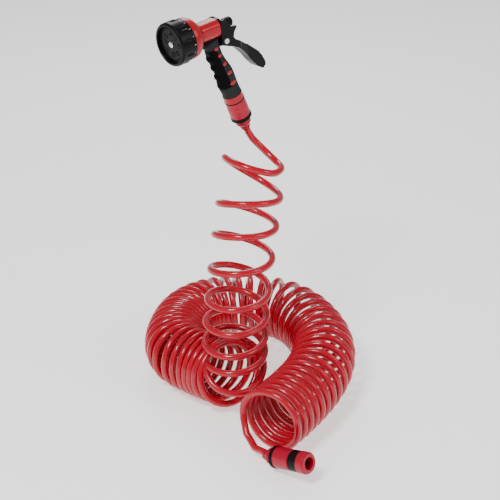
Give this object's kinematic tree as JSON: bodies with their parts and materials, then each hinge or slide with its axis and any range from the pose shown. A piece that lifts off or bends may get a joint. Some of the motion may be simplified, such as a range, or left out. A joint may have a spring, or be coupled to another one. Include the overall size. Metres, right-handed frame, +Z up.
{
  "type": "trigger spray gun on a coiled hose",
  "caption": "Trigger spray gun with a turning pattern head on a coiled garden hose, with quick connectors and a threaded tap adaptor at the far end.",
  "frame": {"origin": "middle of the hand grip, on its axis, where the gun is held; the floor the coil lies on is 0.506 m below", "axes": "+Z up, -X towards the nozzle, +Y across the grip"},
  "size_m": [0.3463, 0.4911, 0.6065],
  "materials": {
    "red_shell": "glossy red moulded plastic",
    "grip_grey": "smooth charcoal soft-touch overmould",
    "pad_black": "black ribbed soft pad",
    "black_plastic": "satin black plastic",
    "black_soft": "black soft ring",
    "seal_rubber": "black nitrile seal",
    "screw_chrome": "bright plated screw",
    "pin_steel": "turned stainless steel",
    "seat_brass": "turned brass",
    "pale_plastic": "natural acetal",
    "connector_red": "red moulded plastic, lightly worn sheen",
    "hose_red": "glossy red hose wall"
  },
  "bodies": {
    "hose_side": {"upper_core": "connector_red", "upper_claw_ring": "pale_plastic", "upper_nut": "connector_red", "upper_collet": "connector_red", "hose_lead": "hose_red", "hose_coil_hanging": "hose_red", "hose_coil_floor": "hose_red", "hose_tail": "hose_red", "lower_core": "connector_red", "lower_claw_ring": "pale_plastic", "lower_nut": "connector_red", "lower_collet": "connector_red"},
    "gun": {"gun_core": "red_shell", "grip_cover": "grip_grey", "finger_pad": "pad_black", "rear_cap": "black_plastic", "gland_seal": "seal_rubber", "pivot_pin": "pin_steel", "pin_washer": "pin_steel", "bezel_ring": "black_plastic", "port_plate": "pale_plastic", "port_seal": "seal_rubber", "dial_screw": "screw_chrome", "valve_seat": "seat_brass", "tail_nipple": "red_shell", "nipple_o_ring": "seal_rubber"},
    "spray_head": {"dial_ring": "black_plastic", "face_plate": "black_plastic", "selector_disc": "pale_plastic", "jet_insert": "black_plastic", "mist_insert": "black_plastic", "cone_insert": "black_plastic", "flat_insert": "black_plastic"},
    "trigger": {"trigger_lever": "black_plastic"},
    "stem": {"valve_stem": "pin_steel", "valve_plug": "seal_rubber", "stem_washer": "pin_steel", "valve_spring": "pin_steel"},
    "knob": {"flow_knob": "black_plastic"},
    "gun_sleeve": {"upper_sleeve": "connector_red", "upper_sleeve_ring": "black_soft", "upper_sleeve_spring": "pin_steel"},
    "floor_sleeve": {"lower_sleeve": "connector_red", "lower_sleeve_ring": "black_soft", "lower_sleeve_spring": "pin_steel"},
    "tap_adaptor": {"adaptor_body": "black_plastic", "adaptor_ring": "connector_red", "adaptor_washer": "seal_rubber", "adaptor_o_ring": "seal_rubber"}
  },
  "joints": [
    {"name": "gun_swivel", "type": "hinge", "parent": "hose_side", "child": "gun", "pos_m": [0.01907, 0, -0.04164], "axis": [0.4163, 0, -0.9092], "continuous": true},
    {"name": "head_turn", "type": "hinge", "parent": "gun", "child": "spray_head", "pos_m": [-0.01099, 0, 0.07823], "axis": [-0.9903, 0, -0.1392], "continuous": true},
    {"name": "trigger_pull", "type": "hinge", "parent": "gun", "child": "trigger", "pos_m": [-0.00807, 0, 0.05744], "axis": [0, 1, 0], "range_deg": [0, 18], "stiffness_Nm_per_rad": 0.6, "springref_deg": -20.05},
    {"name": "stem_slide", "type": "slide", "parent": "gun", "child": "stem", "axis": [0.9903, 0, 0.1392], "range_m": [0, 0.0066], "deforming": ["valve_spring"]},
    {"name": "flow_knob_turn", "type": "hinge", "parent": "stem", "child": "knob", "pos_m": [-0.01099, 0, 0.07823], "axis": [0.9903, 0, 0.1392], "range_deg": [-180, 180]},
    {"name": "gun_sleeve_slide", "type": "slide", "parent": "hose_side", "child": "gun_sleeve", "axis": [0.4163, 0, -0.9092], "range_m": [0, 0.004], "stiffness_N_per_m": 900, "springref_m": -0.004, "deforming": ["upper_sleeve_spring"]},
    {"name": "floor_sleeve_slide", "type": "slide", "parent": "hose_side", "child": "floor_sleeve", "axis": [-0.113, 0.9553, -0.2731], "range_m": [0, 0.004], "stiffness_N_per_m": 900, "springref_m": -0.004, "deforming": ["lower_sleeve_spring"]},
    {"name": "tap_adaptor_turn", "type": "hinge", "parent": "hose_side", "child": "tap_adaptor", "pos_m": [-0.13276, -0.30415, -0.47543], "axis": [0.113, -0.9553, 0.2731], "continuous": true}
  ],
  "couplings": [
    {"joint": "stem_slide", "follows": "trigger_pull", "m_per_rad": 0.021}
  ]
}
